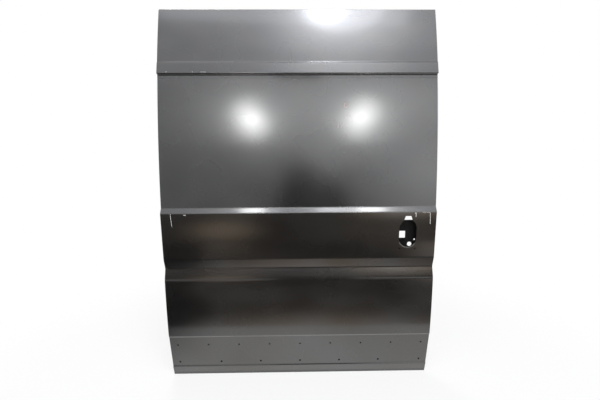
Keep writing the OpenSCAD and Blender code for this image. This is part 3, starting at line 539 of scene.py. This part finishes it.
skinTree = treeOf(pressed["skins"])
allTree = treeOf(nodes)
nodeTrees = {name: treeOf((name,)) for name in nodes}


# Scuffs through the primer, pale where the zinc shows, and a painted highlight along the handle opening's
# lower edge: paths as x and z on the outer face, in metres.
scuffsAndHighlight = {
    "leftScratch": {"width": 0.0032, "tone": "pale", "paths": [
        [(-0.0222, 0.0508), (-0.0168, 0.0526)],
        [(-0.0204, 0.0521), (-0.0194, 0.0316), (-0.0181, 0.0089), (-0.0160, -0.0128)]]},
    "leftSpot": {"width": 0.0042, "tone": "pale", "paths": [[(0.0419, 0.0478), (0.0565, 0.0470)]]},
    "rightTick": {"width": 0.0048, "tone": "pale", "paths": [
        [(1.1820, 0.0470), (1.1850, 0.0500), (1.1890, 0.0496), (1.1879, 0.0284)]]},
    "rightCorner": {"width": 0.0038, "tone": "pale", "paths": [
        [(1.2199, 0.0519), (1.2413, 0.0521), (1.2577, 0.0519), (1.2594, 0.0232), (1.2613, -0.0079)]]},
    "cutEdgePaintedHighlight": {"width": 0.0022, "tone": "paintedEdgeHighlight", "paths": [     # painted highlight along the opening's lower edge, standing in for light on its rolled rim
        [(1.1106, -0.0999), (1.1143, -0.1064), (1.1190, -0.1123), (1.1245, -0.1172), (1.1305, -0.1213),
         (1.1372, -0.1242), (1.1443, -0.1259), (1.1515, -0.1265), (1.1587, -0.1259), (1.1658, -0.1242),
         (1.1724, -0.1213), (1.1785, -0.1172), (1.1840, -0.1123), (1.1887, -0.1064)]]},
    "beltChips": {"width": 0.0046, "tone": "pale", "paths": [
        [(-0.0262, 0.7326), (-0.0210, 0.7330)], [(0.1012, 0.7324), (0.1052, 0.7330)],
        [(0.1420, 0.7324), (0.1460, 0.7329)], [(0.1520, 0.7322), (0.1560, 0.7329)],
        [(0.1612, 0.7325), (0.1648, 0.7328)]]},
    "roofStreak": {"width": 0.0026, "tone": "faint", "paths": [
        [(0.5752, 0.8420), (0.5722, 0.8260), (0.5709, 0.8104), (0.5717, 0.7861), (0.5745, 0.7640)]]},
    "oldMarks": {"width": 0.0030, "tone": "rosy", "paths": [
        [(0.8330, 0.5650), (0.8330, 0.5810), (0.8490, 0.5810), (0.8490, 0.5650), (0.8330, 0.5650)],
        [(0.8036, 0.4650), (0.8020, 0.4720), (0.8030, 0.4810)], [(0.8190, 0.4650), (0.8196, 0.4810)]]},
}
scuffAndHighlightLook = {
    # the pale grey tone of the handle opening's edge is a painted highlight
    "tones": {"pale": "#d6d4cf", "faint": "#6e6d6b", "paintedEdgeHighlight": "#a3a19c", "rosy": "#c2a097"},
    "dark": 0.45,           # the darker patches, as a share of the tone
    "patch": 0.004, "depth": 0.0001, "rough": 0.75,
    "step": 0.005,          # metres between two places where the width changes
    "narrow": 0.55,         # least share of the width along the way
    "tip": 0.5,             # share of the width at both ends
    "film": 0.00003,        # metal salts, and the painted highlight, stand this far out of the coat
}
random.seed(7)              # for the widths of the scuffs and the painted highlight here, and the sealer's thickness below


def scuffAndHighlightMaterial(name, colour):     # dry, chalky metal salts: matt, in patches of a few millimetres; the painted edge highlight uses the same
    material, tree = emptyMaterial(name + "ZincScuffAndHighlight")
    place = addNode(tree, "TexCoord").outputs["Object"]
    patchy = addNode(tree, "TexNoise", {"Vector": place, "Scale": 1 / scuffAndHighlightLook["patch"], "Detail": 3.0})
    pale = linear(colour)
    dark = [part * scuffAndHighlightLook["dark"] for part in pale[:3]] + [1]
    tone = addNode(tree, "Mix", {"Factor": patchy.outputs["Fac"], 6: dark, 7: pale}, data_type="RGBA")
    bump = addNode(tree, "Bump", {"Height": patchy.outputs["Fac"], "Distance": scuffAndHighlightLook["depth"]})
    shader = addNode(tree, "BsdfPrincipled", {"Base Color": tone.outputs[2], "Roughness": scuffAndHighlightLook["rough"],
                                              "Normal": bump.outputs[0]})
    addNode(tree, "OutputMaterial", {0: shader.outputs[0]})
    return material


def scuffAndHighlightPath(work, path, width):
    points = path[:1]
    for start, end in zip(path, path[1:]):
        points += evenPoints(start, end, scuffAndHighlightLook["step"])[1:]
    last = len(points) - 1
    edge = None
    for k, (x, z) in enumerate(points):
        after, before = points[min(k + 1, last)], points[max(k - 1, 0)]
        along = Vector((after[0] - before[0], 0, after[1] - before[1])).normalized()
        half = width / 2 * random.uniform(scuffAndHighlightLook["narrow"], 1.0)
        across = along.cross(Vector((0, 1, 0))) * half * (scuffAndHighlightLook["tip"] if k in (0, last) else 1)
        ends = []
        for side in (-1, 1):
            hit, normal = meet(skinTree, x + side * across.x, z + side * across.z, 1)
            ends.append(hit + normal * scuffAndHighlightLook["film"])
        if edge is None:
            edge = work.edges.new([work.verts.new(end) for end in ends])
            continue
        grown = bmesh.ops.extrude_edge_only(work, edges=[edge])["geom"]
        edge = [item for item in grown if isinstance(item, bmesh.types.BMEdge)][0]
        fresh = sorted((item for item in grown if isinstance(item, bmesh.types.BMVert)),
                       key=lambda vert: (vert.co - ends[0]).length - (vert.co - ends[1]).length)
        for vert, end in zip(fresh, ends):
            vert.co = end


scuffAndHighlightTones = {name: scuffAndHighlightMaterial(name, colour) for name, colour in scuffAndHighlightLook["tones"].items()}
for name, look in scuffsAndHighlight.items():
    work = bmesh.new()
    for path in look["paths"]:
        scuffAndHighlightPath(work, path, look["width"])
    work.normal_update()
    for face in work.faces:
        if face.normal.y > 0:
            face.normal_flip()
    made = addPiece("scuff-and-highlight-" + name, work, scuffAndHighlightTones[look["tone"]])
    film = made.modifiers.new("film", "SOLIDIFY")
    film.thickness = 2 * scuffAndHighlightLook["film"]
    film.offset = -1
print("scuffs made:", len(scuffsAndHighlight))


# Spot welds: round dished prints of the electrodes, in rows inside each sheet's left, right, top and bottom
# edges. Lengths are in metres.
welds = {
    "pitch": 0.046, "inset": 0.0085,
    "corner": 1.6,                  # insets that a row stays away from its corners
    "radius": 0.0032, "sides": 12, "rise": 0.00022,
    "rim": 0.0006, "slope": 0.0008, "dish": 0.0003,
    "clear": 0.0055,                # flat sheet that a print needs around it
    "even": 0.0003,                 # how far that sheet may stray
    "facing": 0.75,                 # least share of Y in the sheet's normal
    "rows": {
        "lower_panel": "LRTB", "belt_rail": "LRTB", "waist_rail": "LRTB", "header_rail": "LRTB",
        "bottom_rail": "LRT", "front_corner": "LR", "rear_corner": "LR", "front_pillar": "LR",
        "rear_pillar": "LR", "front_upright": "LR", "rear_upright": "LR", "upper_brace_low": "LR",
        "upper_brace_high": "LR", "upper_rear_gusset": "LRTB", "waist_front_gusset": "LRTB",
        "waist_rear_gusset": "LRTB", "lower_rear_gusset": "LRTB", "beam_front_bracket": "LR",
        "beam_rear_bracket": "LR"},
}


def weldPrint():
    work = bmesh.new()
    bmesh.ops.create_circle(work, cap_ends=True, segments=welds["sides"], radius=welds["radius"])
    top = bmesh.ops.extrude_face_region(work, geom=work.faces[:])["geom"]
    raised = [item for item in top if isinstance(item, bmesh.types.BMVert)]
    crown = [item for item in top if isinstance(item, bmesh.types.BMFace)]
    bmesh.ops.translate(work, verts=raised, vec=(0, 0, welds["rise"]))
    bmesh.ops.inset_region(work, faces=crown, thickness=welds["rim"])
    bmesh.ops.inset_region(work, faces=crown, thickness=welds["slope"], depth=-welds["dish"])
    bmesh.ops.recalc_face_normals(work, faces=work.faces)
    for face in work.faces:
        face.smooth = True
    mesh = bpy.data.meshes.new("weldPrint")
    work.to_mesh(mesh)
    work.free()
    return mesh


# Where flat sheet is looked for round a print, with "clear" as the unit.
spotRing = ((0, 0), (1, 0), (-1, 0), (0, 1), (0, -1), (0.7, 0.7), (-0.7, 0.7), (0.7, -0.7), (-0.7, -0.7))


def flatSpot(nodeName, x, z):       # None where the sheet isn't flat, or isn't the innermost one, all round
    hit, normal = meet(nodeTrees[nodeName], x, z, -1)
    if hit is None or normal.y < welds["facing"]:
        return None
    for dx, dz in spotRing:
        near = meet(allTree, x + dx * welds["clear"], z + dz * welds["clear"], -1)[0]
        if near is None or abs((near - hit).dot(normal)) > welds["even"]:
            return None
    return hit, normal


def weldLine(low, high, side):
    inset = welds["inset"]
    away = inset * welds["corner"]
    if side in "LR":
        x = low[0] + inset if side == "L" else high[0] - inset
        return evenPoints((x, low[2] + away), (x, high[2] - away), welds["pitch"])
    z = low[2] + inset if side == "B" else high[2] - inset
    return evenPoints((low[0] + away, z), (high[0] - away, z), welds["pitch"])


printMesh = weldPrint()
allWelds = bmesh.new()
weldCount = 0
for nodeName, sides in welds["rows"].items():
    low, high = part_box(nodeName)
    for side in sides:
        for x, z in weldLine(low, high, side):
            spot = flatSpot(nodeName, x, z)
            if spot is None:
                continue
            turned = spot[1].to_track_quat("Z", "Y").to_matrix().to_4x4()
            turned.translation = spot[0]
            one = printMesh.copy()
            one.transform(turned)
            allWelds.from_mesh(one)
            bpy.data.meshes.remove(one)
            weldCount += 1
addPiece("spot-welds", allWelds, frameCoat)
print("spot welds made:", weldCount)

beadRounding = 3        # bevel resolution of a bead, which gives it 10 sides


def beadPiece(name, points, look, material):
    curve = bpy.data.curves.new(name, "CURVE")
    curve.dimensions = "3D"
    curve.bevel_depth = look["radius"]
    curve.bevel_resolution = beadRounding
    curve.use_fill_caps = True
    line = curve.splines.new("POLY")
    line.points.add(len(points) - 1)
    for point, target in zip(points, line.points):
        target.co = (*point, 1)
        target.radius = random.uniform(*look["uneven"]) if "uneven" in look else 1.0
    drawn = bpy.data.objects.new(name + "-line", curve)
    scene.collection.objects.link(drawn)
    mesh = bpy.data.meshes.new_from_object(drawn.evaluated_get(bpy.context.evaluated_depsgraph_get()))
    bpy.data.objects.remove(drawn)
    work = bmesh.new()
    work.from_mesh(mesh)
    bpy.data.meshes.remove(mesh)
    for face in work.faces:
        face.smooth = len(face.verts) == 4      # the caps at its ends stay flat
    addPiece(name, work, material)


# Hem sealer: a soft bead along the edge of the folded return. It lies "inside" the door's edge by that much,
# stops short of the corners by "ends", and leaves out a point where the sheet steps by "jump" or more.
hemBead = {"inside": 0.0112, "radius": 0.0013, "stand": 0.0009, "step": 0.012, "ends": 0.016, "jump": 0.012,
           "uneven": (0.9, 1.1)}


def hemLine(start, end):
    points = []
    for x, z in evenPoints(start, end, hemBead["step"]):
        hit, normal = meet(skinTree, x, z, -1)
        if hit is None:
            continue
        point = hit + Vector((0, hemBead["stand"], 0))
        if not points or abs(point.y - points[-1].y) < hemBead["jump"]:
            points.append(point)
    return points


lowCorner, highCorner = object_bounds()
left, right, foot, head = lowCorner[0], highCorner[0], lowCorner[2], highCorner[2]
ends, inside = hemBead["ends"], hemBead["inside"]
for name, start, end in (("rear", (left + inside, foot + ends), (left + inside, head - ends)),
                         ("front", (right - inside, foot + ends), (right - inside, head - ends)),
                         ("foot", (left + ends, foot + inside), (right - ends, foot + inside))):
    beadPiece("hem-sealer-" + name, hemLine(start, end), hemBead, sealerMaterial)
print("hem sealer made")

# Joint filler: a brushed fillet under the belt, where the roof sheet laps the outer one, coated with both.
seamBead = {"y": 0.0050, "z": 0.7226, "radius": 0.0031, "ends": 0.003, "step": 0.05}
seamLine = evenPoints((left + seamBead["ends"], seamBead["y"], seamBead["z"]),
                      (right - seamBead["ends"], seamBead["y"], seamBead["z"]), seamBead["step"])
beadPiece("belt-joint-filler", seamLine, seamBead, skinCoat)
print("belt joint filled")
